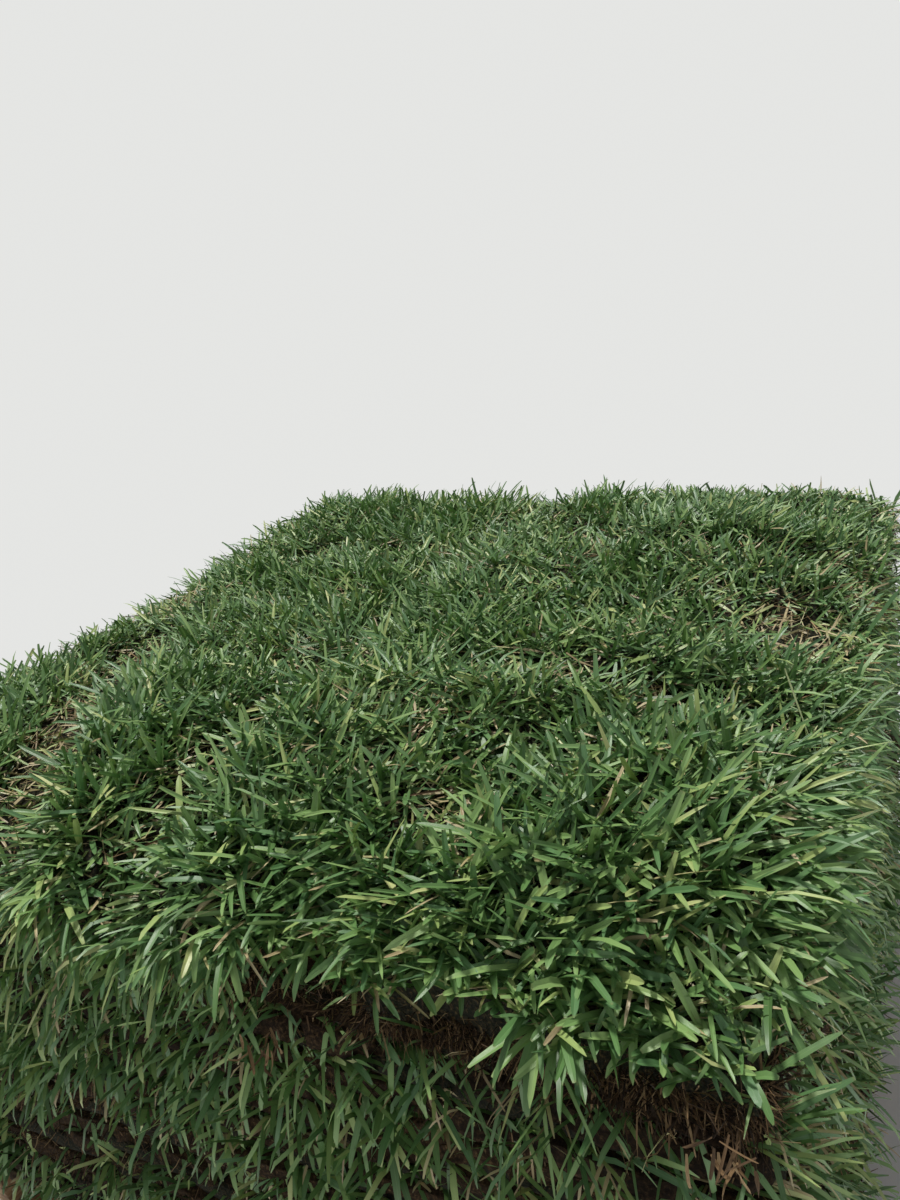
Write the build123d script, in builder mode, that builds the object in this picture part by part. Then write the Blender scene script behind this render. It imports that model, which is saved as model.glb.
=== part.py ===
from build123d import *

import os
from math import asin, degrees
from random import Random

# A square stack of cut turf slabs on a wooden pallet, in millimetres.
# Origin in the middle of the pallet's underside, X to the right along the near
# side, Y away from it, Z up.

# One slab of turf
slab_length = 610
slab_width = 406
soil_thickness = 30
corner_wear = 14  # the cut corners crumble off
loose_grass = 52  # depth of the sward where nothing lies on it
pressed_grass = 18  # depth of the sward under the next layer
grass_overhang = 18  # how far the sward leans out past the cut soil
skirt_drop = 14  # how far the top sward hangs down over that cut
rim_round = 26  # how softly the top sward turns over its rim

# The stack
slabs_along = 2
slabs_across = 3
slab_gap = 6  # open seam between two slabs of a layer
layer_count = 14
edge_sag = 65  # how much lower the top slabs lie at the rim than in the middle
sag_run = 260  # how far in from the rim they start to fall
slab_slip = 8  # the most that a slab sticks out past its neighbours
seam_depth = 60  # how far in from the rim the seams of a pressed layer stay open

# The pallet
pallet_length = 1220
pallet_width = 1220
stringer_count = 3
stringer_width = 38
stringer_height = 89
deck_board_count = 7
deck_board_width = 120
deck_board_thickness = 16
base_board_count = 3
base_board_width = 120
base_board_thickness = 16

# What follows from them
deck_top = base_board_thickness + stringer_height + deck_board_thickness
layer_pitch = soil_thickness + pressed_grass
stack_rise = layer_count * layer_pitch - pressed_grass
layer_length = slabs_along * slab_length + (slabs_along - 1) * slab_gap
layer_width = slabs_across * slab_width + (slabs_across - 1) * slab_gap
rim = max(layer_length, layer_width) / 2
reach = rim + grass_overhang + 3 * slab_slip  # clear of every slab of the stack

os.makedirs("parts", exist_ok=True)


def save(piece, name):
    piece.label = name
    export_step(piece, f"parts/{name}.step")


def spread(count, pitch):
    """Places of count things along a line, about its middle."""
    return [(i - (count - 1) / 2) * pitch for i in range(count)]


def side_of(i, count):
    """-1 or 1 for the first and last in a line, which are outside ones, and else 0."""
    return -1 if i == 0 else 1 if i == count - 1 else 0


# The slabs of one layer as (x, y, outward in x, outward in y), left to right and
# near to far
slab_places = [
    (x, y, side_of(i, slabs_along), side_of(j, slabs_across))
    for j, y in enumerate(spread(slabs_across, slab_width + slab_gap))
    for i, x in enumerate(spread(slabs_along, slab_length + slab_gap))
]

# How each layer lies: every second one crosswise, the top one with its long
# sides along the near side, and each slab a little further out than it might be
layer_turns = [90 * ((layer_count - 1 - k) % 2) for k in range(layer_count)]
stacking = Random(11)
layer_slips = [
    [(stacking.uniform(0, slab_slip), stacking.uniform(0, slab_slip)) for _ in slab_places]
    for _ in range(layer_count)
]


def crown(level, extent=reach, rim_radius=0):
    """All that lies under one curved surface of the stack.

    The surface is flat at level in the middle and falls to the rim in an arc,
    the more so the higher it lies, because each layer adds its own sag.
    """
    sag = edge_sag * (level - deck_top) / stack_rise
    radius = (sag_run**2 + sag**2) / (2 * sag)
    flat = rim - sag_run
    turn = degrees(asin((extent - flat) / radius))
    with BuildPart() as under:
        for side, mode in ((Plane.XZ, Mode.ADD), (Plane.YZ, Mode.INTERSECT)):
            with BuildSketch(side) as profile:
                with BuildLine():
                    Line((0, level), (flat, level))
                    fall = JernArc((flat, level), (1, 0), radius, -turn)
                    Line(fall @ 1, (extent, 0))
                    Line((extent, 0), (0, 0))
                    Line((0, 0), (0, level))
                make_face()
                if rim_radius:
                    rim_point = profile.vertices().sort_by_distance(fall @ 1)[0]
                    fillet(rim_point, rim_radius)
                mirror(about=Plane.YZ)
            extrude(amount=extent, both=True, mode=mode)
    return under.part


def slab_outlines(layer, slabs, overhang):
    """The slabs' outlines, each leaning out by overhang where it has no neighbour."""
    for n in slabs:
        x, y, out_x, out_y = slab_places[n]
        slip_x, slip_y = layer_slips[layer][n]
        place = (
            x + out_x * (slip_x + overhang / 2),
            y + out_y * (slip_y + overhang / 2),
        )
        with Locations(place):
            Rectangle(
                slab_length + abs(out_x) * overhang,
                slab_width + abs(out_y) * overhang,
            )


def pressed_core():
    """Joins the slabs of a pressed layer where the load has closed their seams."""
    Rectangle(layer_length - 2 * seam_depth, layer_width - 2 * seam_depth)


def outer_corners(sketch):
    """A lone slab's four corners, or the four of a whole layer."""
    return sketch.vertices().sort_by_distance((0, 0))[-4:]


def turf(layer, slabs, soil_top, grass_top, below, rim_radius=0):
    """The soil and the sward of some slabs of a layer, as two parts."""
    plane = Plane.XY.offset(deck_top).rotated((0, 0, layer_turns[layer]))
    pressed = len(slabs) > 1

    with BuildPart() as soil:
        with BuildSketch(plane) as cut:
            slab_outlines(layer, slabs, 0)
            chamfer(outer_corners(cut), corner_wear)
            if pressed:
                pressed_core()
        extrude(amount=grass_top - deck_top)
        add(crown(soil_top), mode=Mode.INTERSECT)
        if below:
            add(below, mode=Mode.SUBTRACT)

    with BuildPart() as grass:
        with BuildSketch(plane) as lean:
            slab_outlines(layer, slabs, grass_overhang)
            chamfer(outer_corners(lean), corner_wear)
            if pressed:
                pressed_core()
        extrude(amount=grass_top + layer_pitch - deck_top)
        grass_reach = rim + grass_overhang if rim_radius else reach
        add(crown(grass_top, grass_reach, rim_radius), mode=Mode.INTERSECT)
        add(soil.part, mode=Mode.SUBTRACT)
        add(crown(soil_top if pressed else soil_top - skirt_drop), mode=Mode.SUBTRACT)

    return soil.part, grass.part


def pallet_board(name, place, size, bottom):
    """A sawn board, its size given along X, Y and Z."""
    with BuildPart() as board:
        with BuildSketch(Plane.XY.offset(bottom)):
            with Locations(place):
                Rectangle(size[0], size[1])
        extrude(amount=size[2])
    save(board.part, name)


# The pallet: boards across stringers that run away from the near side
for i, x in enumerate(spread(stringer_count, (pallet_width - stringer_width) / (stringer_count - 1))):
    pallet_board(
        f"pallet_stringer_{i + 1}",
        (x, 0),
        (stringer_width, pallet_length, stringer_height),
        base_board_thickness,
    )
for name, count, width, thickness, bottom in (
    ("base", base_board_count, base_board_width, base_board_thickness, 0),
    ("deck", deck_board_count, deck_board_width, deck_board_thickness, deck_top - deck_board_thickness),
):
    for i, y in enumerate(spread(count, (pallet_length - width) / (count - 1))):
        pallet_board(
            f"pallet_{name}_board_{i + 1}",
            (0, y),
            (pallet_width, width, thickness),
            bottom,
        )

# The pressed layers, a node of soil and a node of sward for each
everyone = range(len(slab_places))
ground = None
for k in range(layer_count - 1):
    soil_top = deck_top + k * layer_pitch + soil_thickness
    grass_top = soil_top + pressed_grass
    soil, grass = turf(k, everyone, soil_top, grass_top, ground)
    save(soil, f"soil_layer_{k + 1:02d}")
    save(grass, f"grass_layer_{k + 1:02d}")
    ground = crown(grass_top)

# The top layer, each slab by itself
soil_top = deck_top + stack_rise
for n in everyone:
    soil, grass = turf(layer_count - 1, [n], soil_top, soil_top + loose_grass, ground, rim_round)
    save(soil, f"top_slab_{n + 1}_soil")
    save(grass, f"top_slab_{n + 1}_grass")
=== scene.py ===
from math import cos, pi, radians, sin, tau

import bpy
import numpy as np
from mathutils import Matrix, Vector
from mathutils.bvhtree import BVHTree


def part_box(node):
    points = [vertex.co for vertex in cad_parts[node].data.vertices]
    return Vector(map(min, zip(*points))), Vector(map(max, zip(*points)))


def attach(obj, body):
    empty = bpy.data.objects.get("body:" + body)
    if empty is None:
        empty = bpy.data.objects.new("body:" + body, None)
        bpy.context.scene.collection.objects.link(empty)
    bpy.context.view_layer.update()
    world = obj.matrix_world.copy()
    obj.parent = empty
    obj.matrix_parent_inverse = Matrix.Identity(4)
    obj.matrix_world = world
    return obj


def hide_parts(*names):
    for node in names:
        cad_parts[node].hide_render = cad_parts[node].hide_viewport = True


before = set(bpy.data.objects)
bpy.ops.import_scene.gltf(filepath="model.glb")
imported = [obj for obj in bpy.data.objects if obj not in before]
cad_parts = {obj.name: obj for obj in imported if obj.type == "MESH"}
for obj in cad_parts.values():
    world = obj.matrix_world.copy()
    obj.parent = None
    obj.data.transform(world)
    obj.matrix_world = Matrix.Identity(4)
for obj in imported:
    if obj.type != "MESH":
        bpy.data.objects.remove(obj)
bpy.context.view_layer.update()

# The stack of turf, dressed: blades, thatch, cut soil and sawn boards.
# Metres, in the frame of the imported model: X right, Y away, Z up.

rng = np.random.default_rng(5)
UP = np.array([0.0, 0.0, 1.0])

# The camera, fitted to the outline of the stack in the photograph: it stands past
# the near right corner, over the rim, and is turned, tipped and rolled by degrees
RIM_TOP = 0.757
CAMERA_PLACE = (0.725, -1.037, RIM_TOP + 0.505)
CAMERA_TURN = 32.1
CAMERA_PITCH = -20.35
CAMERA_ROLL = -11.64
CAMERA_LENS = 26.83


# The studio
PALE = (0.78, 0.79, 0.80)
FLOOR = 200
SKY_LIGHT = 0.28
SKY_TINT = (0.95, 0.98, 1.0)
SUN_LIGHT = 2.5
SUN_TINT = (1.0, 0.98, 0.93)
SUN_SOFTNESS = 8
SUN_FROM = (-0.35, 0.50, 1.5)

# Grass, in metres
BLADE_WIDTH = 0.0066
STRAW_WIDTH = 0.6  # of a dry blade, as a share of a green one's
BLADE_LENGTHS = (0.033, 0.081)
SHORTEST_BLADE = 0.012  # that the mower leaves
LONGEST_BLADE = 0.090  # where the sward is lush
BLADE_FOLD = 0.17  # how deep the midrib lies, as a share of the blade's width
SWARD_BLADES = 5  # to a shoot
NEAR_SWARD_BLADES = 6  # where the camera is close
SHOOT_PITCH = 0.0142
SHOOT_SPREAD = 0.003
SHEATH_HEIGHTS = (0.011, 0.033)  # how high over the soil a blade leaves its shoot
COMBED = 0.52  # how much of a blade's heading it shares with those around it
MOWN_HEIGHT = 0.060
MOWN_RAGGED = 0.016  # how much of it follows the clumps
MOWN_SPREAD = 0.004
SWARD_TOP = 0.852  # the most that any blade reaches up
SWARD_PROUD = 0.052  # how far the longest blades stand out past the cut soil

# How the blades of a shoot lean from upright, in degrees
FIRST_LEAN = 36
LEAN_STEP = 9  # from one blade to the next
LEAN_SPREAD = 14

# Humps and dips of the sward, in metres
HUMP = 0.015
RIPPLE = 0.008
SEAM_DIP = 0.017
CORNER_DIP = 0.020
DEEPEST_DIP = -0.005  # that the blades follow

# The mat of runners and dead leaves that the blades stand in
MAT_HEIGHT = 0.030
MAT_TAPER = 0.022  # how far in from a slab's rim it reaches its height
MAT_PITCH = 0.0105
LITTER_PITCH = 0.0092
LITTER_LENGTHS = (0.010, 0.042)
LITTER_WIDTHS = (0.0008, 0.0034)
RUNNER_PITCH = 0.02

# The sides
RAY_START = 1.08  # rays at a rim start from a block this much larger than its node
RAY_AIM = 0.86  # and aim at one this much smaller
RAY_INSET = 0.004  # how far inside the cut its top and foot are looked up
RIM_LEVELS = 10  # heights at which rays look for the outermost of a rim
RIM_BAND = 0.03  # how far in from the rim a point still lies on it
RIM_RUN = 0.075  # how far in from the rim the sward begins to turn over it
SLIP = 0.008  # how far a slab's rim wanders in and out
WAVE = 0.006  # and up and down
NEAR_CUT_PITCH = 0.0045
FAR_CUT_PITCH = 0.009
LAYER_CUT_PITCH = 0.012
TOP_CUT_ROWS = 9
LAYER_CUT_ROWS = 6
TOP_ROUGHNESS = 0.016
LAYER_ROUGHNESS = 0.013
CAP_INSET = 0.030  # how far in a block's flat top and foot begin
CORE_RISE = 0.024  # how far a pressed mat reaches up, a little into the next layer's soil
MAT_INSET = 0.012  # how far in from the cut its rim lies
FRINGE_PITCH = 0.0040
FRINGE_BLADES = 2  # at each place along a rim
NEAR_FRINGE_BLADES = 4
TOP_FRINGE_LENGTHS = (0.026, 0.098)
LAYER_FRINGE_LENGTHS = (0.026, 0.080)
FRINGE_WIDTHS = (0.0030, 0.0076)
TOP_FRINGE_START = 1.1  # how high it starts, as a share of the soil's thickness
LAYER_FRINGE_START = 1.2
ROOT_LENGTHS = (0.007, 0.045)
ROOT_WIDTHS = (0.0005, 0.0029)
TUFT_LEAVES = 15  # dead leaves to a tuft

# Boards
BOARD_STATIONS = 14
BOARD_WEAR = 0.0025  # how far the corners of a board are worn off
BOARD_WARP = 0.0008
BOARD_GRAIN = 0.0003

# Slabs of the top layer by number, from near left to far right
NEAREST_SLAB = 2
NEAR_SLABS = (2, 4)  # the camera is close to these
FRONT_SLABS = (1, 2)

# How many roots stand out of a near and a far slab of the top, and of a whole layer
NEAR_ROOTS = 5600
FAR_ROOTS = 1200
LAYER_ROOTS = 1400
RUNNERS = 70  # on each slab of the top

# Seams of the top layer, and how far from them its sward is thin
SEAM_X = 0.0
SEAMS_Y = (-0.206, 0.206)
SEAM_REACH = 0.020
# A worn furrow in the left slabs, from one x and y to another, and how far it reaches to each side
FURROW_START = (-0.21, -0.60)
FURROW_END = (-0.39, -0.14)
FURROW_REACH = 0.060
# Places where the sward is thin: x, y, radius
BARE_PLACES = (
    (0.545, 0.005, 0.075),
    (0.63, 0.15, 0.05),
    (-0.02, -0.52, 0.05),
    (-0.03, -0.42, 0.035),
    (0.31, -0.47, 0.035),
    (0.45, -0.23, 0.04),
    (-0.50, 0.00, 0.07),
)
# Lush tufts in the sward: x, y, radius
PUFFS = (
    (0.21, -0.25, 0.13),
    (0.09, -0.42, 0.10),
    (0.12, 0.06, 0.12),
    (0.38, 0.27, 0.11),
    (0.46, -0.47, 0.10),
)
PUFF_RISE = 0.010
# Where no sward hides the near side's cut: from x, to x, how far its edge has broken away
BARE_CUTS = ((0.16, 0.30, 0.044), (0.32, 0.46, 0.016), (0.475, 0.635, 0.012))
BROKEN_REACH = 0.10  # how far in from the rim the sward has moved with that edge
COVERED = (0.42, 0.675)  # between these heights blades hide the near side's soil
# Dead leaves that hang from the near cut: x, z
DEAD_LEAVES = ((0.205, 0.672), (0.60, 0.722))
NEAR_BAND = 0.06  # how far in the near side's edge reaches
NEAR_DROP = 0.08  # and how far below the rim's top
UPRIGHT_FROM = -0.15  # on the right side, the y from which the rim's blades stand up
FAR_CORNER = (0.28, 0.30)  # where the sward starts to droop in x and y, and over how far

# Ways that a blade may be coloured: greens, then yellow greens, then straw
ATLAS_SIDE = 8
ATLAS_MARGIN = 0.06  # kept free round each way's part of the atlas
VARIANTS = ATLAS_SIDE**2
PALE_FROM = 40
DRY_FROM = 56


def top_nodes(kind):
    return sorted(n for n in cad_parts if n.startswith("top_slab") and n.endswith(kind))


def layer_nodes(kind):
    return sorted(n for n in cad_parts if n.startswith(kind + "_layer"))


# Reading the frame

RAY_HIGH = 2.0  # over the whole stack
RAY_LOW = -1.0  # and under it


def node_tree(name):
    """A CAD node's mesh, ready for rays."""
    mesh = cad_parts[name].data
    corners = [v.co.copy() for v in mesh.vertices]
    return BVHTree.FromPolygons(corners, [tuple(p.vertices) for p in mesh.polygons])


def drop(tree, x, y):
    """Where a ray straight down meets the tree, or None."""
    return tree.ray_cast(Vector((x, y, RAY_HIGH)), Vector((0, 0, -1)))[0]


def lift(tree, x, y):
    """Where a ray straight up meets the tree, or None."""
    return tree.ray_cast(Vector((x, y, RAY_LOW)), Vector((0, 0, 1)))[0]


# Noise

LATTICE_SIDE = 32
LATTICE = np.random.default_rng(1).uniform(-1, 1, (LATTICE_SIDE,) * 3)


def noise(points, size, seed=0):
    """Smooth noise from -1 to 1 at an array of points, about size from hump to hump."""
    p = np.asarray(points, float) / size + seed * 7.31
    cell = np.floor(p).astype(int)
    f = p - cell
    f = f * f * (3 - 2 * f)
    total = 0
    for dx in (0, 1):
        for dy in (0, 1):
            for dz in (0, 1):
                weight = (
                    (f[:, 0] if dx else 1 - f[:, 0])
                    * (f[:, 1] if dy else 1 - f[:, 1])
                    * (f[:, 2] if dz else 1 - f[:, 2])
                )
                corner = (cell + (dx, dy, dz)) % LATTICE_SIDE
                total = total + weight * LATTICE[corner[:, 0], corner[:, 1], corner[:, 2]]
    return total


def unit(v):
    return v / np.maximum(np.linalg.norm(v, axis=-1, keepdims=True), 1e-9)


def level(angle):
    """Level vectors of length 1 at an array of angles."""
    return np.stack([np.cos(angle), np.sin(angle), 0 * angle], axis=1)


def skewed(bounds, a, b, n):
    """Draws between two bounds, with a and b as a beta curve has them."""
    low, high = bounds
    return low + (high - low) * rng.beta(a, b, n)


def ease(values, start, run):
    """0 up to start, then rising to 1 over run."""
    return np.clip((values - start) / run, 0, 1)


# Meshes

def add_mesh(name, verts, faces, material, replaced=(), uv=None, atlas=None, variant=None,
             creased=False):
    """A piece of the object from arrays: faces all have the same number of corners.

    Creased keeps the two halves of each blade apart along its midrib.
    """
    mesh = bpy.data.meshes.new(name)
    count, sides = faces.shape
    mesh.vertices.add(len(verts))
    mesh.vertices.foreach_set("co", verts.astype(np.float32).ravel())
    mesh.loops.add(count * sides)
    mesh.loops.foreach_set("vertex_index", faces.astype(np.int32).ravel())
    mesh.polygons.add(count)
    mesh.polygons.foreach_set("loop_start", np.arange(0, count * sides, sides, dtype=np.int32))
    mesh.update(calc_edges=True)
    mesh.shade_smooth()
    for title, values in (("Blade", uv), ("OFBake", atlas)):
        if values is not None:
            layer = mesh.uv_layers.new(name=title, do_init=False)
            layer.uv.foreach_set("vector", values[faces.ravel()].astype(np.float32).ravel())
    if variant is not None:
        kind = mesh.attributes.new("variant", "FLOAT", "POINT")
        kind.data.foreach_set("value", variant.astype(np.float32))
    if creased:
        ends = np.empty(len(mesh.edges) * 2, np.int32)
        mesh.edges.foreach_get("vertices", ends)
        crease = mesh.attributes.new("sharp_edge", "BOOLEAN", "EDGE")
        crease.data.foreach_set("value", (ends.reshape(-1, 2) % 3 == 1).all(axis=1))
    mesh.materials.append(material)
    piece = bpy.data.objects.new(name, mesh)
    bpy.context.scene.collection.objects.link(piece)
    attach(piece, "root")
    if replaced:
        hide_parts(*replaced)


# Where along a blade its rows of corners are
LONG_BLADE = (0, 0.3, 0.62, 0.9, 1)
MEAN_BLADE = (0, 0.4, 0.84, 1)
THIN_BLADE = (0, 0.5, 1)


def blade_strips(base, heading, lean, curl, length, width, twist, tip, variant, along_it, fold):
    """Blades of grass as strips, every argument an array with one entry a blade.

    A blade leaves base at lean from upright, towards heading, and bends by curl over
    its length. With a fold it has a midrib that lies under its two edges.
    """
    n = len(base)
    t = np.array(along_it, float)
    rows = len(t)
    across = np.cross(heading, UP)
    spin = t[None, :] * twist[:, None]
    angle = lean[:, None] + curl[:, None] * t[None, :] ** 1.2
    along = np.cos(angle)[..., None] * UP + np.sin(angle)[..., None] * heading[:, None, :]
    step = length[:, None, None] * np.diff(t)[None, :, None] * (along[:, 1:] + along[:, :-1]) / 2
    spine = np.concatenate([np.zeros((n, 1, 3)), np.cumsum(step, axis=1)], axis=1) + base[:, None, :]
    face = unit(np.cross(across[:, None, :], along))
    side = np.cos(spin)[..., None] * across[:, None, :] + np.sin(spin)[..., None] * face
    face = unit(np.cross(side, along))
    # the outline of a blade: a strap, narrower at its sheath and blunt at its tip
    shape = np.interp(t, [0, 0.3, 0.6, 0.9], [0.62, 0.97, 1.0, 0.74])[None, :]
    half = 0.5 * width[:, None] * np.where(t[None, :] > 0.99, tip[:, None], shape)
    left = spine - side * half[..., None]
    right = spine + side * half[..., None]
    if fold:
        keel = face * (fold * 2 * half)[..., None]
        columns = [left + keel, spine, right + keel]
    else:
        columns = [left, right]
    wide = len(columns)
    verts = np.stack(columns, axis=2).reshape(-1, 3)
    r, c = np.meshgrid(np.arange(rows - 1), np.arange(wide - 1), indexing="ij")
    first = (r * wide + c).ravel()
    quad = np.stack([first, first + 1, first + wide + 1, first + wide], axis=1)
    faces = (np.arange(n)[:, None, None] * rows * wide + quad[None]).reshape(-1, 4)
    s = np.linspace(0, 1, wide)
    uv = np.stack(np.broadcast_arrays(s[None, None, :], t[None, :, None]), axis=-1)
    uv = np.broadcast_to(uv, (n, rows, wide, 2)).reshape(-1, 2)
    cell = np.stack([variant % ATLAS_SIDE, variant // ATLAS_SIDE], axis=1)
    cell = np.repeat(cell, rows * wide, axis=0)
    atlas = (cell + ATLAS_MARGIN + (1 - 2 * ATLAS_MARGIN) * uv) / ATLAS_SIDE
    return verts, faces, uv, atlas, np.repeat(variant / VARIANTS, rows * wide)


def pick_variants(n, dry, pale):
    """Which way each blade is coloured: the last rows are dry, the ones before them pale."""
    roll = rng.uniform(0, 1, n)
    variant = rng.integers(0, PALE_FROM, n)
    variant = np.where(roll < pale + dry, rng.integers(PALE_FROM, DRY_FROM, n), variant)
    return np.where(roll < dry, rng.integers(DRY_FROM, VARIANTS, n), variant)


# Materials

BLACK = (0, 0, 0)
WHITE = (1, 1, 1)


def new_material(name):
    material = bpy.data.materials.new(name)
    material.use_nodes = True
    tree = material.node_tree
    return material, tree, tree.nodes["Principled BSDF"]


def new_node(tree, kind, place, **settings):
    """A texture or mapping node read at place, with its inputs set by name."""
    node = tree.nodes.new("ShaderNode" + kind)
    tree.links.new(place, node.inputs["Vector"])
    for title, value in settings.items():
        node.inputs[title.capitalize()].default_value = value
    return node


def add_bump(tree, shader, height, strength, distance):
    bump = tree.nodes.new("ShaderNodeBump")
    bump.inputs["Strength"].default_value = strength
    bump.inputs["Distance"].default_value = distance
    tree.links.new(height, bump.inputs["Height"])
    tree.links.new(bump.outputs[0], shader.inputs["Normal"])


def ramp(tree, source, stops):
    """The colours that a source has on a ramp of (place, colour) stops."""
    node = tree.nodes.new("ShaderNodeValToRGB")
    tree.links.new(source, node.inputs[0])
    node.color_ramp.elements[0].position = stops[0][0]
    node.color_ramp.elements[0].color = (*stops[0][1], 1)
    node.color_ramp.elements[1].position = stops[-1][0]
    node.color_ramp.elements[1].color = (*stops[-1][1], 1)
    for place, colour in stops[1:-1]:
        node.color_ramp.elements.new(place).color = (*colour, 1)
    return node.outputs[0]


def srgb(r, g, b):
    """A colour given as 0 to 255 on a screen."""
    return tuple(((c / 255 + 0.055) / 1.055) ** 2.4 if c > 10 else c / 255 / 12.92 for c in (r, g, b))


def mix(tree, mode, amount, a, b):
    """A Mix node of two colours, each an output or a colour; amount an output or a number."""
    node = tree.nodes.new("ShaderNodeMix")
    node.data_type = "RGBA"
    node.blend_type = mode
    for socket, value in ((node.inputs[0], amount), (node.inputs[6], a), (node.inputs[7], b)):
        if isinstance(value, bpy.types.NodeSocket):
            tree.links.new(value, socket)
        elif isinstance(value, (int, float)):
            socket.default_value = value
        else:
            socket.default_value = (*value, 1)
    return node.outputs[2]


def blade_material():
    material, tree, shader = new_material("grass_blade")
    kind = tree.nodes.new("ShaderNodeAttribute")
    kind.attribute_name = "variant"
    place = tree.nodes.new("ShaderNodeUVMap")
    place.uv_map = "Blade"
    split = tree.nodes.new("ShaderNodeSeparateXYZ")
    tree.links.new(place.outputs[0], split.inputs[0])
    # the body of the blade: greens, then yellow greens, then straw
    body = ramp(tree, kind.outputs["Fac"], [
        (0.0, srgb(82, 117, 65)),
        (0.16, srgb(109, 150, 84)),
        (0.32, srgb(96, 139, 89)),
        (0.46, srgb(132, 169, 98)),
        (0.62, srgb(156, 189, 117)),
        (0.66, srgb(158, 186, 108)),
        (0.8, srgb(188, 205, 130)),
        (0.86, srgb(214, 218, 152)),
        (0.885, srgb(198, 180, 134)),
        (0.95, srgb(216, 198, 156)),
        (1.0, srgb(156, 130, 94)),
    ])
    # darker towards the sheath: painted shade for the depth of the sward; a tan edge where the mower
    # cut
    base_painted_shade = ramp(tree, split.outputs["Y"], [(0.0, srgb(150, 160, 110)), (0.3, WHITE), (1.0, WHITE)])
    colour = mix(tree, "MULTIPLY", 0.6, body, base_painted_shade)
    cut = ramp(tree, split.outputs["Y"], [(0.96, BLACK), (1.0, (0.5, 0.5, 0.5))])
    colour = mix(tree, "MIX", cut, colour, srgb(150, 146, 92))
    # the midrib and the veins beside it
    rib = ramp(tree, split.outputs["X"], [(0.44, BLACK), (0.5, WHITE), (0.56, BLACK)])
    colour = mix(tree, "SCREEN", rib, colour, srgb(70, 84, 52))
    vein = new_node(tree, "TexWave", place.outputs[0], scale=3.0, distortion=0.4)
    vein.wave_type = "BANDS"
    vein.bands_direction = "X"
    add_bump(tree, shader, vein.outputs["Fac"], 0.25, 0.0004)
    tree.links.new(colour, shader.inputs["Base Color"])
    shader.inputs["Roughness"].default_value = 0.38
    shader.inputs["Specular IOR Level"].default_value = 0.8
    return material


def root_material():
    material, tree, shader = new_material("root_fibre")
    kind = tree.nodes.new("ShaderNodeAttribute")
    kind.attribute_name = "variant"
    body = ramp(tree, kind.outputs["Fac"], [
        (0.0, srgb(46, 34, 24)),
        (0.3, srgb(76, 58, 40)),
        (0.6, srgb(114, 89, 61)),
        (0.85, srgb(158, 128, 90)),
        (1.0, srgb(212, 184, 140)),
    ])
    place = tree.nodes.new("ShaderNodeUVMap")
    place.uv_map = "Blade"
    streak = new_node(tree, "TexNoise", place.outputs[0], scale=6)
    shade = ramp(tree, streak.outputs["Fac"], [(0.3, srgb(170, 160, 150)), (0.7, WHITE)])
    colour = mix(tree, "MULTIPLY", 1.0, body, shade)
    tree.links.new(colour, shader.inputs["Base Color"])
    shader.inputs["Roughness"].default_value = 0.85
    return material


def soil_material():
    material, tree, shader = new_material("turf_soil")
    where = tree.nodes.new("ShaderNodeTexCoord")
    grain = new_node(tree, "TexNoise", where.outputs["Object"], scale=260, detail=6, roughness=0.7)
    tone = ramp(tree, grain.outputs["Fac"], [
        (0.3, srgb(24, 18, 13)),
        (0.47, srgb(54, 42, 31)),
        (0.58, srgb(86, 69, 50)),
        (0.7, srgb(142, 118, 86)),
    ])
    flat = new_node(tree, "Mapping", where.outputs["Object"], scale=(2.5, 2.5, 21))
    damp = new_node(tree, "TexNoise", flat.outputs[0], scale=1, detail=3)
    tint = ramp(tree, damp.outputs["Fac"], [
        (0.3, srgb(140, 132, 128)),
        (0.5, srgb(222, 214, 204)),
        (0.7, srgb(255, 250, 240)),
    ])
    colour = mix(tree, "MULTIPLY", 1.0, tone, tint)
    tree.links.new(colour, shader.inputs["Base Color"])
    add_bump(tree, shader, grain.outputs["Fac"], 0.8, 0.002)
    shader.inputs["Roughness"].default_value = 0.95
    shader.inputs["Specular IOR Level"].default_value = 0.2
    return material


def thatch_painted_shade_material():
    material, tree, shader = new_material("thatch")
    # the browns of runners and dead leaves, darkened towards black: painted shade for the depth between
    # the blades
    where = tree.nodes.new("ShaderNodeTexCoord")
    strands = new_node(tree, "TexNoise", where.outputs["Object"], scale=330, detail=4)
    tone = ramp(tree, strands.outputs["Fac"], [
        (0.34, srgb(18, 20, 10)),
        (0.5, srgb(34, 36, 19)),
        (0.6, srgb(58, 50, 30)),
        (0.72, srgb(110, 92, 58)),
    ])
    tree.links.new(tone, shader.inputs["Base Color"])
    add_bump(tree, shader, strands.outputs["Fac"], 0.9, 0.003)
    shader.inputs["Roughness"].default_value = 0.95
    return material


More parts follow.
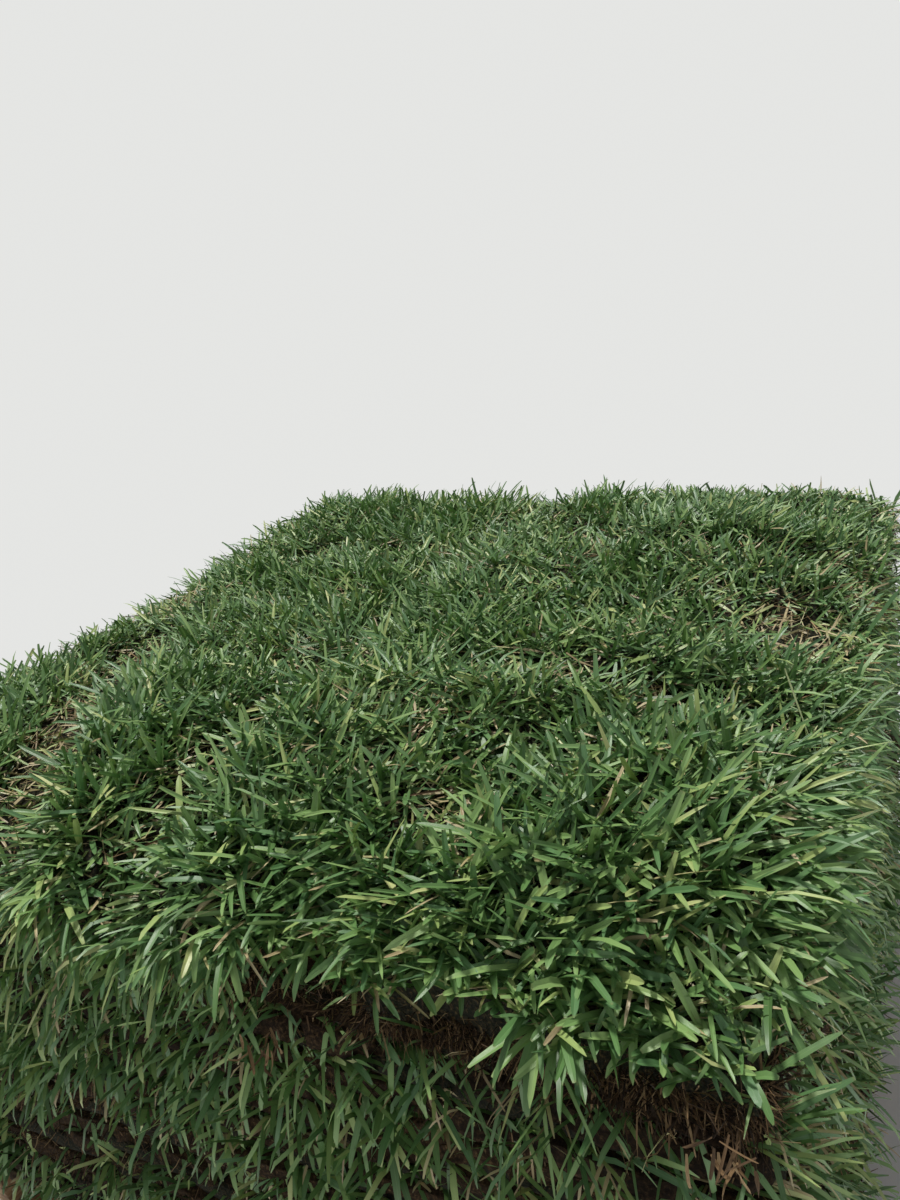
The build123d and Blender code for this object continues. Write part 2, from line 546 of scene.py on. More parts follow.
def wood_material(name, along):
    """Weathered softwood, its grain along X or Y."""
    material, tree, shader = new_material(name)
    where = tree.nodes.new("ShaderNodeTexCoord")
    squeeze = (1.2, 34, 34) if along == "X" else (34, 1.2, 34)
    stretch = new_node(tree, "Mapping", where.outputs["Object"], scale=squeeze)
    grain = new_node(
        tree, "TexNoise", stretch.outputs[0], scale=2.2, detail=9, roughness=0.62, distortion=0.7)
    rings = new_node(tree, "TexWave", stretch.outputs[0], scale=0.55, distortion=9, detail=3)
    rings.wave_type = "BANDS"
    rings.bands_direction = "Z"
    tone = ramp(tree, grain.outputs["Fac"], [
        (0.28, srgb(116, 88, 60)),
        (0.45, srgb(170, 136, 98)),
        (0.6, srgb(196, 164, 124)),
        (0.75, srgb(214, 186, 148)),
    ])
    late = ramp(tree, rings.outputs["Fac"], [
        (0.0, srgb(196, 170, 140)),
        (0.5, WHITE),
        (1.0, srgb(236, 222, 202)),
    ])
    colour = mix(tree, "MULTIPLY", 0.8, tone, late)
    stain = new_node(tree, "TexNoise", where.outputs["Object"], scale=7, detail=6)
    dirt = ramp(tree, stain.outputs["Fac"], [(0.45, BLACK), (0.72, (0.75, 0.75, 0.75))])
    colour = mix(tree, "MIX", dirt, colour, srgb(112, 98, 80))
    tree.links.new(colour, shader.inputs["Base Color"])
    add_bump(tree, shader, grain.outputs["Fac"], 0.5, 0.0012)
    shader.inputs["Roughness"].default_value = 0.82
    return material


BLADE = blade_material()
ROOT = root_material()
SOIL = soil_material()
THATCH_PAINTED_SHADE = thatch_painted_shade_material()
WOOD = {axis: wood_material("pallet_wood_" + axis.lower(), axis) for axis in "XY"}


# The top sward

TOP_SOIL = {n: node_tree(n) for n in top_nodes("soil")}
TOP_BOXES = {n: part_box(n) for n in TOP_SOIL}
STACK_LOW = np.min([b[0] for b in TOP_BOXES.values()], axis=0)
STACK_HIGH = np.max([b[1] for b in TOP_BOXES.values()], axis=0)


def on_near_side(points):
    return (points[:, 1] < STACK_LOW[1] + NEAR_BAND) & (points[:, 2] > RIM_TOP - NEAR_DROP)


def near_cut(points):
    """1 where the near side's cut lies bare, 0 elsewhere."""
    x = points[:, 0]
    bare = np.zeros(len(points))
    for start, end, _ in BARE_CUTS:
        bare = np.maximum(bare, np.clip(np.minimum(x - start, end - x) / 0.015, 0, 1))
    ragged = np.clip(1.45 + 0.9 * noise(points * [1, 0, 0], 0.03, 84), 0, 1)
    return bare * ragged * on_near_side(points)


def broken_away(points):
    """The points, those near the near side's rim moved in where its edge has broken away."""
    x = points[:, 0]
    depth = np.zeros(len(points))
    for start, end, most in BARE_CUTS:
        depth = np.maximum(depth, most * np.clip(np.minimum(x - start, end - x) / 0.04, 0, 1))
    depth = depth * (1 + 0.35 * noise(points * [1, 0, 0], 0.022, 85))
    share = np.clip(1 - (points[:, 1] - STACK_LOW[1]) / BROKEN_REACH, 0, 1)
    moved = points.copy()
    moved[:, 1] += depth * share * (points[:, 2] > RIM_TOP - NEAR_DROP)
    return moved


def grass_points(name, pitch):
    """Points spread evenly but not in rows over a top slab's soil."""
    low, high = TOP_BOXES[name]
    found = []
    for x in np.arange(low[0] + pitch / 2, high[0], pitch):
        for y in np.arange(low[1] + pitch / 2, high[1], pitch):
            jx, jy = rng.uniform(-0.6, 0.6, 2) * pitch
            place = drop(TOP_SOIL[name], x + jx, y + jy)
            if place:
                found.append(place)
    return broken_away(np.array(found))


def rim_pull(points):
    """How near each point is to the stack's rim, 0 to 1, and the way out from there."""
    out = np.zeros_like(points)
    near = np.zeros(len(points))
    for axis in (0, 1):
        for sign, edge in ((1, STACK_HIGH[axis]), (-1, STACK_LOW[axis])):
            pull = np.clip(1 - (edge - points[:, axis]) * sign / RIM_RUN, 0, 1)
            out[:, axis] += sign * pull
            near = np.maximum(near, pull)
    return near, unit(out)


def lush(points):
    """How near each point is to the middle of a lush tuft, 0 to 1."""
    near = np.zeros(len(points))
    for x, y, radius in PUFFS:
        away = np.hypot(points[:, 0] - x, points[:, 1] - y) / radius
        near = np.maximum(near, np.exp(-away**2))
    return near


def corner_droop(points):
    """How near each point is to the far right corner, 0 to 1."""
    start, run = FAR_CORNER
    return ease(points[:, 0], start, run) * ease(points[:, 1], start, run)


def hummock(points):
    """How far the sward is puffed up or trodden down at each point."""
    flat = points * [1, 1, 0]
    puff = HUMP * noise(flat, 0.19, 71) + RIPPLE * noise(flat, 0.055, 72)
    puff = puff + PUFF_RISE * lush(points)
    return puff - SEAM_DIP * seam_nearness(points) - CORNER_DIP * corner_droop(points)


def seam_nearness(points):
    """How near each point is to a seam between two slabs of the top layer, 0 to 1."""
    near = np.exp(-((points[:, 0] - SEAM_X) / SEAM_REACH) ** 2)
    for y in SEAMS_Y:
        wander = 0.012 * noise(points * [1, 0, 0], 0.11, 41)
        near = np.maximum(near, np.exp(-((points[:, 1] - y - wander) / SEAM_REACH) ** 2))
    start, end = np.array(FURROW_START), np.array(FURROW_END)
    run = np.clip((points[:, :2] - start) @ (end - start) / np.sum((end - start) ** 2), 0, 1)
    away = np.hypot(*(points[:, :2] - start - run[:, None] * (end - start)).T)
    away = away + 0.02 * noise(points, 0.07, 44)
    furrow = np.exp(-((away / FURROW_REACH) ** 4))
    return np.maximum(near, furrow)


def thatchy(points):
    """How bare the sward is, so that straw and runners show, 0 to 1."""
    bare = np.clip(noise(points, 0.11, 51) * 1.6 - 0.75, 0, 1)
    for x, y, radius in BARE_PLACES:
        away = np.hypot(points[:, 0] - x, points[:, 1] - y)
        bare = np.maximum(bare, np.clip(1.3 - away / radius, 0, 1))
    return np.maximum(bare, 0.95 * seam_nearness(points))


def hold_inside(verts, base, per_blade, cut_back):
    """Draws in each blade that would stand out past the room that the sward has."""
    blades = verts.reshape(-1, per_blade, 3)
    high = blades[:, :, 2].max(axis=1)
    share = np.clip((SWARD_TOP - base[:, 2]) / np.maximum(high - base[:, 2], 1e-6), 0, 1)
    share = np.where(high > SWARD_TOP, share, 1.0)
    blades[:, :, 2] = base[:, None, 2] + (blades[:, :, 2] - base[:, None, 2]) * share[:, None]
    for axis in (0, 1):
        middle = (STACK_LOW[axis] + STACK_HIGH[axis]) / 2
        room = (STACK_HIGH[axis] - STACK_LOW[axis]) / 2 + SWARD_PROUD * (1 - 0.95 * cut_back)
        offset = blades[:, :, axis] - base[:, None, axis]
        far = np.abs(blades[:, :, axis] - middle).max(axis=1)
        foot = np.abs(base[:, axis] - middle)
        share = np.clip((room - foot) / np.maximum(far - foot, 1e-6), 0.05, 1)
        share = np.where(far > room, share, 1.0)
        blades[:, :, axis] = base[:, None, axis] + offset * share[:, None]
    return blades.reshape(-1, 3)


def add_blades(name, material, base, heading, lean, curl, length, width, twist, tip, variant,
               along_it, fold, replaced=(), cut_back=0.0, creased=False):
    """A piece made of blades, drawn in where they would stand out of their room."""
    verts, faces, uv, atlas, kinds = blade_strips(
        base, heading, lean, curl, length, width, twist, tip, variant, along_it, fold)
    per_blade = len(along_it) * (3 if fold else 2)
    verts = hold_inside(verts, base, per_blade, cut_back)
    add_mesh(name, verts, faces, material, replaced, uv, atlas, kinds, creased)


def clumping(points):
    """How thickly and how high the sward grows at each point, about 0."""
    return np.clip(noise(points, 0.15, 6) + 0.6 * noise(points, 0.05, 7), -0.7, 1.1)


def sward(name, number):
    """The blades of one top slab, in shoots that each fan out from one foot."""
    roots = grass_points(name, SHOOT_PITCH)
    hollow = np.clip(-1.3 * clumping(roots), 0, 1)
    thinned = np.maximum(0.95 * thatchy(roots), 0.35 * hollow)
    roots = roots[rng.uniform(0, 1, len(roots)) > thinned]
    shoots = len(roots)
    per = NEAR_SWARD_BLADES if number in NEAR_SLABS else SWARD_BLADES
    n = shoots * per
    base = np.repeat(roots, per, axis=0)
    bare = thatchy(base)
    base[:, :2] += rng.normal(0, SHOOT_SPREAD, (n, 2))
    dip = np.maximum(hummock(base), DEEPEST_DIP)
    base[:, 2] += rng.uniform(*SHEATH_HEIGHTS, n) * (1 - 0.6 * bare) + dip
    # a blade heads out of its shoot, with those around it, and over the rim
    fan = np.repeat(rng.uniform(0, tau, shoots), per) + rng.normal(0, 0.5, n)
    rank = np.tile(np.arange(per), shoots)
    side = np.where(rank % 2, 1.0, -1.0)
    comb = level(-0.7 + noise(base, 0.38, 3) * 2.8 + noise(base, 0.09, 4) * 2.7)
    near, out = rim_pull(base)
    cover = rim_cover(base)
    open_cut = np.clip(1 - cover * 4, 0, 1)
    cut_back = open_cut * near
    upright = near * (out[:, 0] > 0.5) * ease(base[:, 1], UPRIGHT_FROM, 0.2)
    tousle = (1.4 + noise(base, 0.06, 23)) * (1 - 0.85 * upright)
    heading = side[:, None] * level(fan)
    heading = heading + COMBED * comb + out * (near * tousle * (1 - 1.25 * cut_back))[:, None]
    heading[:, 2] = 0
    heading = unit(heading)
    lean = radians(FIRST_LEAN) + radians(LEAN_STEP) * rank + rng.normal(0, radians(LEAN_SPREAD), n)
    lean = lean + near * radians(22) + bare * radians(14)
    lean = lean - cut_back * radians(26) - upright * radians(34)
    lean = np.clip(lean, radians(4), radians(96))
    curl = rng.normal(radians(16), radians(16), n) + near * cover * radians(38)
    clump = clumping(base)
    length = skewed(BLADE_LENGTHS, 1.4, 1.8, n)
    length = length * (1 + 0.35 * clump - 0.4 * bare) * (1 + 0.15 * near * cover - 0.35 * upright)
    inland = ease(base[:, 1], -0.52, 0.3)
    length = np.minimum(length * (1 + 0.35 * lush(base)) * (1 - 0.12 * inland), LONGEST_BLADE)
    far_right = ease(base[:, 0], 0.1, 0.3) * ease(base[:, 1], -0.2, 0.3)
    length = length * (1 - 0.28 * far_right)
    # the mower takes what stands too high
    height = length * np.cos(lean + curl * 0.45)
    limit = MOWN_HEIGHT - MOWN_RAGGED + MOWN_RAGGED * clump + PUFF_RISE * lush(base)
    limit = (limit + rng.normal(0, MOWN_SPREAD, n)) * (1 - 0.7 * corner_droop(base))
    mown = height > limit
    length = np.where(mown, length * limit / np.maximum(height, 1e-4), length)
    length = np.maximum(length, SHORTEST_BLADE) * (1 - 0.45 * cut_back)
    tip = np.where(mown, 0.6, rng.uniform(0.05, 0.42, n))
    width = BLADE_WIDTH * (0.48 + 0.75 * rng.beta(1.8, 1.5, n)) * (1 - 0.24 * inland)
    variant = pick_variants(n, 0.04 + 0.22 * bare, 0.09 + 0.1 * noise(base, 0.2, 8))
    straw = variant >= DRY_FROM
    lean = np.where(straw, rng.uniform(radians(55), radians(90), n), lean)
    width = np.where(straw, width * STRAW_WIDTH, width)
    twist = rng.normal(0, 0.55, n)
    rows = LONG_BLADE if number == NEAREST_SLAB else MEAN_BLADE
    add_blades(
        f"top_slab_{number}_blades", BLADE, base, heading, lean, curl, length, width,
        twist, tip, variant, rows, BLADE_FOLD, (f"top_slab_{number}_grass",), open_cut, creased=True)


def undergrowth(name, number):
    """Clippings, dead leaves and young blades that lie on the mat under the sward."""
    base = grass_points(name, LITTER_PITCH)
    n = len(base)
    bare = thatchy(base)
    base[:, 2] += MAT_HEIGHT - 0.007 + rng.uniform(0, 0.017, n) + hummock(base)
    heading = level(rng.uniform(0, tau, n))
    lean = rng.normal(radians(80), radians(12), n)
    curl = rng.normal(0, radians(25), n)
    length = rng.uniform(*LITTER_LENGTHS, n)
    width = rng.uniform(*LITTER_WIDTHS, n)
    variant = pick_variants(n, 0.20 + 0.65 * bare, 0.25)
    width = np.where(variant < DRY_FROM, width + 0.0015, width)
    twist = rng.normal(0, 1.2, n)
    tip = rng.uniform(0.2, 0.9, n)
    add_blades(
        f"top_slab_{number}_litter", BLADE, base, heading, lean, curl, length, width,
        twist, tip, variant, THIN_BLADE, 0)


# The sides: what is cut and what hangs over it

def perimeter(low, high, pitch):
    """Rays that look at a block from all round: where they start and which way they go."""
    middle = (np.array(low) + np.array(high))[:2] / 2
    half = (np.array(high) - np.array(low))[:2] / 2
    counts = [max(4, int(round(2 * half[axis] / pitch))) for axis in (0, 1)]
    starts, ways = [], []
    for quarter in range(4):
        axis = quarter % 2
        count = counts[axis]
        s = (np.arange(count) + 0.5) / count * 2 - 1
        sign = 1 if quarter in (1, 2) else -1
        outer = np.zeros((count, 2))
        inner = np.zeros((count, 2))
        along = s * (1 if quarter in (0, 1) else -1)
        other = 1 - axis
        outer[:, axis] = along * half[axis] * RAY_START
        inner[:, axis] = along * half[axis] * RAY_AIM
        outer[:, other] = sign * half[other] * RAY_START
        inner[:, other] = sign * half[other] * RAY_AIM
        starts.append(outer + middle)
        ways.append(unit(inner - outer))
    return np.concatenate(starts), np.concatenate(ways)


def rim_points(name, pitch):
    """The rim of a node at places all round: foot of the cut, top of the cut, way out."""
    tree = node_tree(name)
    low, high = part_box(name)
    starts, ways = perimeter(low, high, pitch)
    feet, heads, outs = [], [], []
    for (x, y), (wx, wy) in zip(starts, ways):
        hits = []
        for z in np.linspace(low[2], high[2], RIM_LEVELS + 2)[1:-1]:
            place, _, _, away = tree.ray_cast(Vector((x, y, z)), Vector((wx, wy, 0)))
            if place:
                hits.append((away, place))
        if not hits:
            continue
        hit = min(hits, key=lambda found: found[0])[1]
        px, py = hit.x + wx * RAY_INSET, hit.y + wy * RAY_INSET
        head = drop(tree, px, py)
        foot = lift(tree, px, py)
        if head is None or foot is None:
            continue
        feet.append((hit.x, hit.y, foot.z))
        heads.append((hit.x, hit.y, head.z))
        outs.append((-wx, -wy, 0))
    feet, heads, outs = np.array(feet), np.array(heads), np.array(outs)
    outer = on_the_rim(feet)
    slip = outer * SLIP * noise(feet * [1, 1, 9], 0.24, 82)
    shift = outs * slip[:, None]
    shift[:, 2] = outer * WAVE * noise(feet * [1, 1, 7], 0.17, 81)
    return feet + shift, broken_away(heads + shift), outs


def on_the_rim(points):
    """1 where a point lies on the outside of the stack, and 0 along a seam."""
    middle = (STACK_LOW + STACK_HIGH)[:2] / 2
    room = (STACK_HIGH - STACK_LOW)[:2] / 2
    return (np.abs(points[:, :2] - middle) > room - RIM_BAND).any(axis=1).astype(float)


def joined_rings(rings):
    """The corners and faces of a closed block whose rings of points lie one above another."""
    n = len(rings[0])
    last = (len(rings) - 1) * n
    verts = np.concatenate(rings + [[rings[0].mean(axis=0)], [rings[-1].mean(axis=0)]])
    i = np.arange(n)
    beside = (i + 1) % n
    faces = []
    for r in range(len(rings) - 1):
        low, high = r * n, (r + 1) * n
        faces.append(np.stack([low + i, low + beside, high + beside], axis=1))
        faces.append(np.stack([low + i, high + beside, high + i], axis=1))
    faces.append(np.stack([i, np.full(n, last + n), beside], axis=1))
    faces.append(np.stack([last + i, last + beside, np.full(n, last + n + 1)], axis=1))
    return verts, np.concatenate(faces)


def soil_block(node, piece_name, seats, rows, roughness):
    """A block of soil with a torn and crumbled rim."""
    feet, heads, outs = seats
    rings = [feet - outs * CAP_INSET]
    for share in np.linspace(0, 1, rows):
        ring = feet + (heads - feet) * share
        swell = noise(ring, 0.08, 9) * 0.5 + noise(ring, 0.030, 2) * 0.5 + noise(ring, 0.009, 5) * 0.35
        crumble = 0.8 if share in (0, 1) else 1.0
        pocket = 0.020 * near_cut(ring) * 4 * share * (1 - share)
        ring = ring + outs * (roughness * (swell - 0.35) * crumble - pocket)[:, None]
        ring[:, 2] += noise(ring, 0.02, 12) * 0.003
        rings.append(ring)
    rings.append(heads - outs * CAP_INSET)
    verts, faces = joined_rings(rings)
    add_mesh(piece_name, verts, faces, SOIL, (node,))


def pressed_mat(piece_name, seats):
    """What is left of a pressed sward: a flat mat that fills the room up to the next layer."""
    _, heads, outs = (array[::2] for array in seats)
    rings = [heads - outs * CAP_INSET]
    for share in (0, 0.5, 1):
        inset = MAT_INSET - 0.006 * sin(pi * share) + 0.005 * noise(heads, 0.03, 33 + len(rings))
        ring = heads - outs * inset[:, None]
        ring[:, 2] += CORE_RISE * share
        rings.append(ring)
    rings.append(heads - outs * CAP_INSET + [0, 0, CORE_RISE])
    verts, faces = joined_rings(rings)
    # coloured as the dark thatch: painted shade for the pressed sward deep between the layers
    add_mesh(piece_name, verts, faces, THATCH_PAINTED_SHADE)


def rim_cover(points):
    """How thickly the sward hangs over the cut near each point, 0 to 1."""
    cover = np.clip(0.55 + 1.1 * noise(points * [1, 1, 2.5], 0.17, 61), 0.05, 1)
    bare = near_cut(points)
    cover = cover * (1 - bare) + 0.02 * bare
    on_left_half = on_near_side(points) & (points[:, 0] < BARE_CUTS[0][0] - 0.02)
    height = points[:, 2]
    low_down = (points[:, 1] < STACK_LOW[1] + NEAR_BAND) & (height > COVERED[0]) & (height < COVERED[1])
    return np.where(on_left_half | low_down, np.maximum(cover, 0.8), cover)


def fringe(piece_name, seats, replaced, per, start, lengths):
    """What hangs out of a sward over the cut below it: blades bent over and combed down."""
    feet, heads, outs = seats
    base = np.repeat(feet + (heads - feet) * start, per, axis=0)
    out = np.repeat(outs, per, axis=0)
    cover = rim_cover(base)
    keep = rng.uniform(0, 1, len(base)) < 0.02 + 1.05 * cover
    base, out, cover = base[keep], out[keep], cover[keep]
    n = len(base)
    base = base - out * rng.uniform(0.004, 0.026, n)[:, None]
    base[:, 2] += rng.uniform(-0.006, 0.006, n)
    on_right = out[:, 0] > 0.5
    sway = rng.normal(0, 1.2, n) * (1 + 0.4 * on_right)
    sway = sway + 1.4 * noise(base, 0.07, 21) - 0.45 * (out[:, 1] < -0.5)
    heading = unit(out + np.cross(out, UP) * sway[:, None])
    lean = rng.normal(radians(78), radians(38), n)
    curl = rng.uniform(radians(-5), radians(100), n)
    length = skewed(lengths, 1.3, 1.9, n)
    length = length * (0.66 + 0.5 * cover)
    width = skewed(FRINGE_WIDTHS, 1.5, 1.5, n)
    tip = rng.uniform(0.1, 0.5, n)
    variant = pick_variants(n, 0.13 + 0.1 * on_right, 0.12)
    dry = variant >= DRY_FROM
    width = np.where(dry, width * STRAW_WIDTH, width)
    length = np.where(dry, length * 0.7, length)
    # long thin blades on the right side
    slender = on_right & (base[:, 1] < UPRIGHT_FROM)
    width = np.where(slender, width * 0.72, width)
    length = np.where(slender, length * 1.3, length)
    twist = rng.normal(0, 0.8, n)
    add_blades(
        piece_name, BLADE, base, heading, lean, curl, length, width, twist, tip,
        variant, MEAN_BLADE, 0, replaced)


def root_fibres(piece_name, seats, count):
    """Roots, runners and dead leaves that stand out of a cut through the soil."""
    feet, heads, outs = seats
    bareness = 0.35 + 2.2 * (1 - rim_cover(heads)) ** 2
    pick = rng.choice(len(feet), count, p=bareness / bareness.sum())
    share = rng.beta(1.5, 0.8, count) * 1.15
    out = outs[pick]
    base = feet[pick] + (heads - feet)[pick] * share[:, None] - out * 0.006
    turn = rng.normal(0, 1.3, count) + 1.2 * noise(base, 0.05, 24)
    heading = unit(out * np.abs(np.cos(turn))[:, None] + np.cross(out, UP) * np.sin(turn)[:, None])
    lean = rng.normal(radians(94), radians(42), count)
    curl = rng.normal(radians(20), radians(60), count)
    length = skewed(ROOT_LENGTHS, 1.1, 2.6, count)
    width = skewed(ROOT_WIDTHS, 1.0, 3.2, count)
    variant = rng.integers(0, VARIANTS, count)
    twist = rng.normal(0, 1, count)
    tip = np.full(count, 0.4)
    add_blades(
        piece_name, ROOT, base, heading, lean, curl, length, width, twist, tip,
        variant, THIN_BLADE, 0)


def runners(name, number):
    """Long stems that creep over the mat, most of them where the sward is thin."""
    places = grass_points(name, RUNNER_PITCH)
    chance = 0.05 + thatchy(places)
    base = places[rng.choice(len(places), RUNNERS, p=chance / chance.sum())]
    base[:, 2] += MAT_HEIGHT + hummock(base) + rng.uniform(-0.004, 0.008, RUNNERS)
    heading = level(rng.uniform(0, tau, RUNNERS))
    lean = rng.normal(radians(84), radians(5), RUNNERS)
    curl = rng.normal(radians(10), radians(12), RUNNERS)
    length = rng.uniform(0.03, 0.08, RUNNERS)
    width = rng.uniform(0.0012, 0.0024, RUNNERS)
    twist = rng.normal(0, 1.5, RUNNERS)
    tip = np.full(RUNNERS, 0.5)
    variant = rng.integers(VARIANTS // 2, VARIANTS, RUNNERS)
    add_blades(
        f"top_slab_{number}_runners", ROOT, base, heading, lean, curl, length, width,
        twist, tip, variant, LONG_BLADE, 0.4)


def dead_leaves(piece_name):
    """Tufts of dead leaves caught in the near side's cut."""
    centres = np.array([(x, STACK_LOW[1] - 0.026, z) for x, z in DEAD_LEAVES])
    base = np.repeat(centres, TUFT_LEAVES, axis=0)
    n = len(base)
    base += rng.normal(0, 1, (n, 3)) * [0.009, 0.004, 0.011]
    sideways = rng.normal(0, 1, n)
    outward = -np.abs(rng.normal(0.7, 0.4, n))
    heading = unit(np.stack([sideways, outward, 0 * outward], axis=1))
    lean = rng.normal(radians(140), radians(26), n)
    curl = rng.normal(0, radians(45), n)
    length = rng.uniform(0.012, 0.032, n)
    width = rng.uniform(0.0014, 0.0034, n)
    twist = rng.normal(0, 1.6, n)
    tip = rng.uniform(0.1, 0.6, n)
    variant = rng.integers(VARIANTS // 2, VARIANTS, n)
    add_blades(
        piece_name, ROOT, base, heading, lean, curl, length, width, twist, tip,
        variant, LONG_BLADE, 0.25)


def outer_only(seats):
    """The part of a rim that no neighbour in its layer stands against."""
    outer = on_the_rim(seats[0]) > 0
    return [array[outer] for array in seats]


def thatch_mat(name, number):
    """The mat of runners and dead leaves that the blades of a top slab stand in."""
    low, high = TOP_BOXES[name]
    xs = np.arange(low[0] - 0.002, high[0] + 0.002 + MAT_PITCH, MAT_PITCH)
    ys = np.arange(low[1] - 0.002, high[1] + 0.002 + MAT_PITCH, MAT_PITCH)
    xs = np.clip(xs, low[0] + 0.001, high[0] - 0.001)
    ys = np.clip(ys, low[1] + 0.001, high[1] - 0.001)
    grid = np.zeros((len(xs), len(ys), 3))
    for i, x in enumerate(xs):
        for j, y in enumerate(ys):
            place = drop(TOP_SOIL[name], x, y)
            if place is None:
                # just off the soil's rim, so a little nearer to its middle
                place = drop(TOP_SOIL[name], x * 0.97 + 0.03 * (low[0] + high[0]) / 2,
                             y * 0.97 + 0.03 * (low[1] + high[1]) / 2)
            grid[i, j] = (x, y, place.z if place else low[2])
    flat = grid.reshape(-1, 3)
    edge = np.minimum.reduce([
        flat[:, 0] - low[0], high[0] - flat[:, 0], flat[:, 1] - low[1], high[1] - flat[:, 1]])
    rise = MAT_HEIGHT - 0.002 + hummock(flat) + 0.008 * noise(flat, 0.016, 32)
    rise = np.maximum(rise, 0.006) * (1 - 0.3 * thatchy(flat)) * np.clip(edge / MAT_TAPER, 0, 1) ** 0.6
    top = flat.copy()
    top[:, 2] += rise
    nx, ny = len(xs), len(ys)
    i, j = np.meshgrid(np.arange(nx - 1), np.arange(ny - 1), indexing="ij")
    a = (i * ny + j).ravel()
    up_faces = np.stack([a, a + ny, a + ny + 1, a + 1], axis=1)
    ring = np.concatenate([
        np.arange(nx) * ny,
        (nx - 1) * ny + np.arange(1, ny),
        (np.arange(nx - 2, -1, -1)) * ny + ny - 1,
        np.arange(ny - 2, 0, -1),
    ])
    top = broken_away(top)
    under = broken_away(flat)[ring] - [0, 0, 0.003]
    foot = nx * ny + np.arange(len(ring))
    wall = np.stack([ring, foot, np.roll(foot, -1), np.roll(ring, -1)], axis=1)
    faces = np.concatenate([up_faces, wall])
    verts = np.concatenate([top, under])
    add_mesh(f"top_slab_{number}_thatch", verts, faces, THATCH_PAINTED_SHADE)


for k, soil_node in enumerate(top_nodes("soil"), start=1):
    sward(soil_node, k)
    undergrowth(soil_node, k)
    thatch_mat(soil_node, k)
    runners(soil_node, k)
    in_front = k in FRONT_SLABS
    cut = rim_points(soil_node, NEAR_CUT_PITCH if in_front else FAR_CUT_PITCH)
    soil_block(soil_node, f"top_slab_{k}_earth", cut, TOP_CUT_ROWS, TOP_ROUGHNESS)
    rim = outer_only(rim_points(soil_node, FRINGE_PITCH))
    per = NEAR_FRINGE_BLADES if in_front else FRINGE_BLADES
    fringe(f"top_slab_{k}_fringe", rim, (), per, TOP_FRINGE_START, TOP_FRINGE_LENGTHS)
    root_fibres(f"top_slab_{k}_roots", rim, NEAR_ROOTS if k == NEAREST_SLAB else FAR_ROOTS)
dead_leaves("near_dead_leaves")

for k, (soil_node, grass_node) in enumerate(zip(layer_nodes("soil"), layer_nodes("grass")), start=1):
    cut = rim_points(soil_node, LAYER_CUT_PITCH)
    soil_block(soil_node, f"soil_layer_{k:02d}_earth", cut, LAYER_CUT_ROWS, LAYER_ROUGHNESS)
    pressed_mat(f"grass_layer_{k:02d}_mat", cut)
    rim = rim_points(soil_node, FRINGE_PITCH)
    fringe(
        f"grass_layer_{k:02d}_fringe", rim, (grass_node,), FRINGE_BLADES,
        LAYER_FRINGE_START, LAYER_FRINGE_LENGTHS)
    root_fibres(f"soil_layer_{k:02d}_roots", rim, LAYER_ROOTS)


# The pallet

def board(node):
    """A sawn board in a node's place, with worn corners, and warped a little."""
    low, high = (np.array(corner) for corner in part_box(node))
    size = high - low
    long_axis = 0 if size[0] > size[1] else 1
    wide_axis = 1 - long_axis
    stations = np.linspace(0, 1, BOARD_STATIONS)
    half = np.array([size[wide_axis], size[2]]) / 2
    # a quarter of the section: along the flat face, round the corner, down the side
    turn = np.linspace(0, pi / 2, 4)
    round_off = half[:, None] - BOARD_WEAR + BOARD_WEAR * np.stack([np.sin(turn), np.cos(turn)])
    faces = np.stack([np.linspace(0, half[0] - BOARD_WEAR, 4)[:-1], np.full(3, half[1])])
    quarter = np.concatenate([faces, round_off, [[half[0]], [0]]], axis=1)
    mirrored = quarter[:, -2::-1] * [[1], [-1]]
    right = np.concatenate([quarter, mirrored], axis=1)
    section = np.concatenate([right, right[:, -2:0:-1] * [[-1], [1]]], axis=1)
    count = section.shape[1]
    verts = np.empty((BOARD_STATIONS, count, 3))
    verts[:, :, long_axis] = low[long_axis] + stations[:, None] * size[long_axis]
    verts[:, :, wide_axis] = (low + high)[wide_axis] / 2 + section[0][None, :]
    verts[:, :, 2] = (low + high)[2] / 2 + section[1][None, :]
    flat = verts.reshape(-1, 3)
    rough = noise(flat * [1, 1, 3], 0.05, len(node)) * BOARD_WARP + noise(flat, 0.012, 3) * BOARD_GRAIN
    middle = (low + high) / 2
    inward = unit((middle - flat) * [wide_axis == 0, wide_axis == 1, 1])
    flat = flat + inward * (BOARD_WARP + rough)[:, None]
    r, c = np.meshgrid(np.arange(BOARD_STATIONS - 1), np.arange(count), indexing="ij")
    first = (r * count + c).ravel()
    beside = (r * count + (c + 1) % count).ravel()
    quads = np.stack([first, beside, beside + count, first + count], axis=1)
    sides = np.concatenate([quads[:, [0, 1, 2]], quads[:, [0, 2, 3]]])
    ends = []
    for station, order in ((0, 1), (BOARD_STATIONS - 1, -1)):
        ring = station * count + np.arange(count)
        fan = np.stack([np.full(count - 2, ring[0]), ring[2:], ring[1:-1]], axis=1)
        ends.append(fan[:, ::order])
    faces = np.concatenate([sides] + ends)
    if long_axis == 1:
        faces = faces[:, ::-1]
    add_mesh(node + "_wood", flat, faces, WOOD["XY"[long_axis]], (node,))


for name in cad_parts:
    if name.startswith("pallet"):
        board(name)


# The studio

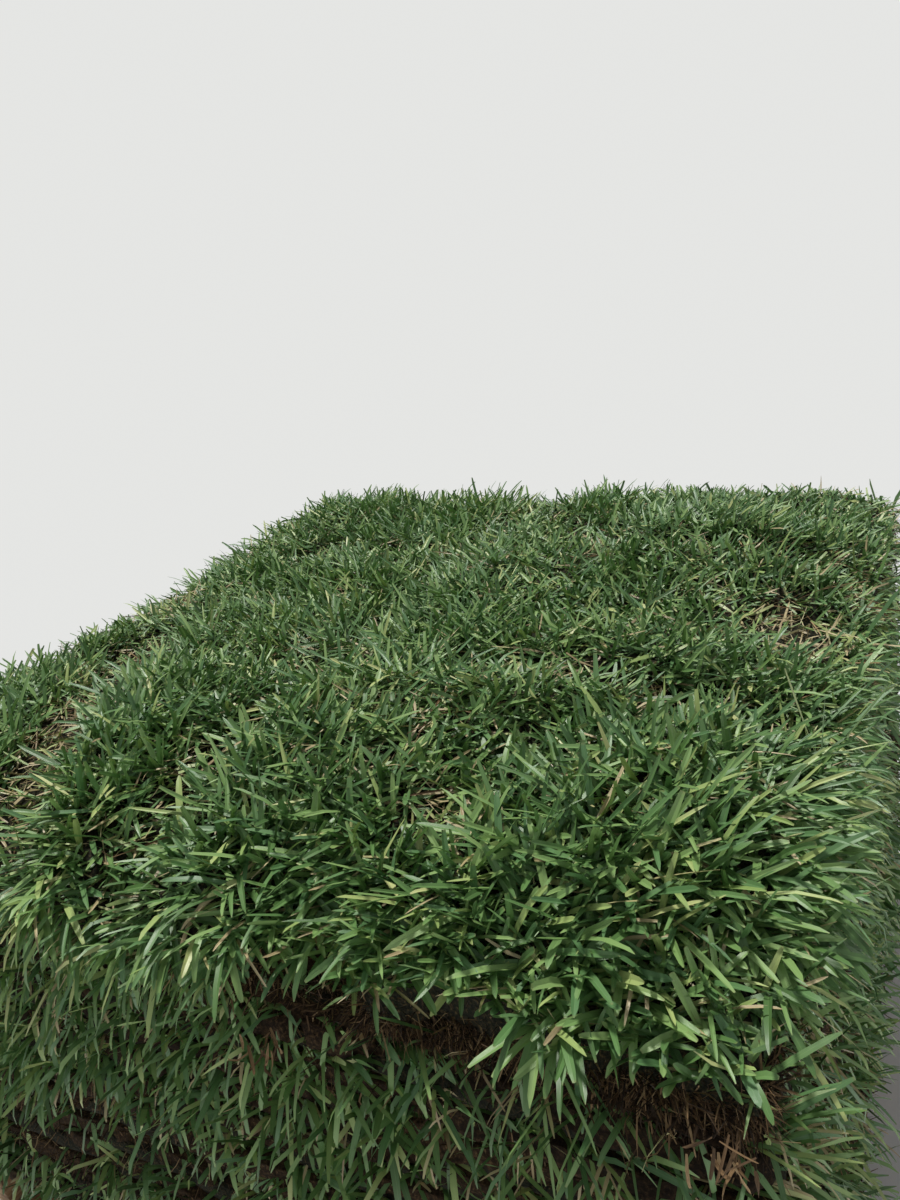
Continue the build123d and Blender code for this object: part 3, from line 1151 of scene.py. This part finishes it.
def look_at(place, turn, pitch, roll, lens):
    """The camera at a place, turned from Y, tipped and rolled by degrees."""
    flat = Vector((-sin(radians(turn)), cos(radians(turn)), 0))
    forward = flat * cos(radians(pitch)) + Vector((0, 0, sin(radians(pitch))))
    right = forward.cross(Vector((0, 0, 1))).normalized()
    upward = right.cross(forward)
    r = radians(roll)
    turned_right = right * cos(r) + upward * sin(r)
    turned_up = upward * cos(r) - right * sin(r)
    camera = bpy.data.objects.new("camera", bpy.data.cameras.new("camera"))
    camera.data.lens = lens
    camera.data.sensor_width = 36
    camera.matrix_world = Matrix((
        (turned_right.x, turned_up.x, -forward.x, place[0]),
        (turned_right.y, turned_up.y, -forward.y, place[1]),
        (turned_right.z, turned_up.z, -forward.z, place[2]),
        (0, 0, 0, 1),
    ))
    bpy.context.scene.collection.objects.link(camera)
    bpy.context.scene.camera = camera


def studio():
    """A pale floor without an edge, an even sky and one soft sun."""
    world = bpy.data.worlds.new("studio")
    bpy.context.scene.world = world
    world.use_nodes = True
    nodes, links = world.node_tree.nodes, world.node_tree.links
    sky = nodes["Background"]
    sky.inputs["Color"].default_value = (*SKY_TINT, 1)
    sky.inputs["Strength"].default_value = SKY_LIGHT
    # behind the stack, the colour that the floor has in this light, so that no edge shows
    sun_share = SUN_LIGHT * unit(np.array(SUN_FROM))[2] / pi
    lit_floor = np.array(PALE) * (np.array(SKY_TINT) * SKY_LIGHT + np.array(SUN_TINT) * sun_share)
    seen = nodes.new("ShaderNodeBackground")
    seen.inputs["Color"].default_value = (*lit_floor, 1)
    seen.inputs["Strength"].default_value = 1.0
    path = nodes.new("ShaderNodeLightPath")
    either = nodes.new("ShaderNodeMixShader")
    links.new(path.outputs["Is Camera Ray"], either.inputs[0])
    links.new(sky.outputs[0], either.inputs[1])
    links.new(seen.outputs[0], either.inputs[2])
    links.new(either.outputs[0], nodes["World Output"].inputs["Surface"])

    light = bpy.data.lights.new("sun", "SUN")
    light.energy = SUN_LIGHT
    light.angle = radians(SUN_SOFTNESS)
    light.color = SUN_TINT
    lamp = bpy.data.objects.new("sun", light)
    lamp.rotation_euler = Vector(SUN_FROM).to_track_quat("Z", "Y").to_euler()
    bpy.context.scene.collection.objects.link(lamp)

    mesh = bpy.data.meshes.new("floor")
    corners = [(-FLOOR, -FLOOR, 0), (FLOOR, -FLOOR, 0), (FLOOR, FLOOR, 0), (-FLOOR, FLOOR, 0)]
    mesh.from_pydata(corners, [], [(0, 1, 2, 3)])
    floor = bpy.data.objects.new("floor", mesh)
    material, _, shader = new_material("floor")
    shader.inputs["Base Color"].default_value = (*PALE, 1)
    shader.inputs["Roughness"].default_value = 1.0
    shader.inputs["Specular IOR Level"].default_value = 0.0
    mesh.materials.append(material)
    bpy.context.scene.collection.objects.link(floor)


look_at(CAMERA_PLACE, CAMERA_TURN, CAMERA_PITCH, CAMERA_ROLL, CAMERA_LENS)
studio()
bpy.context.scene.view_settings.view_transform = "Standard"
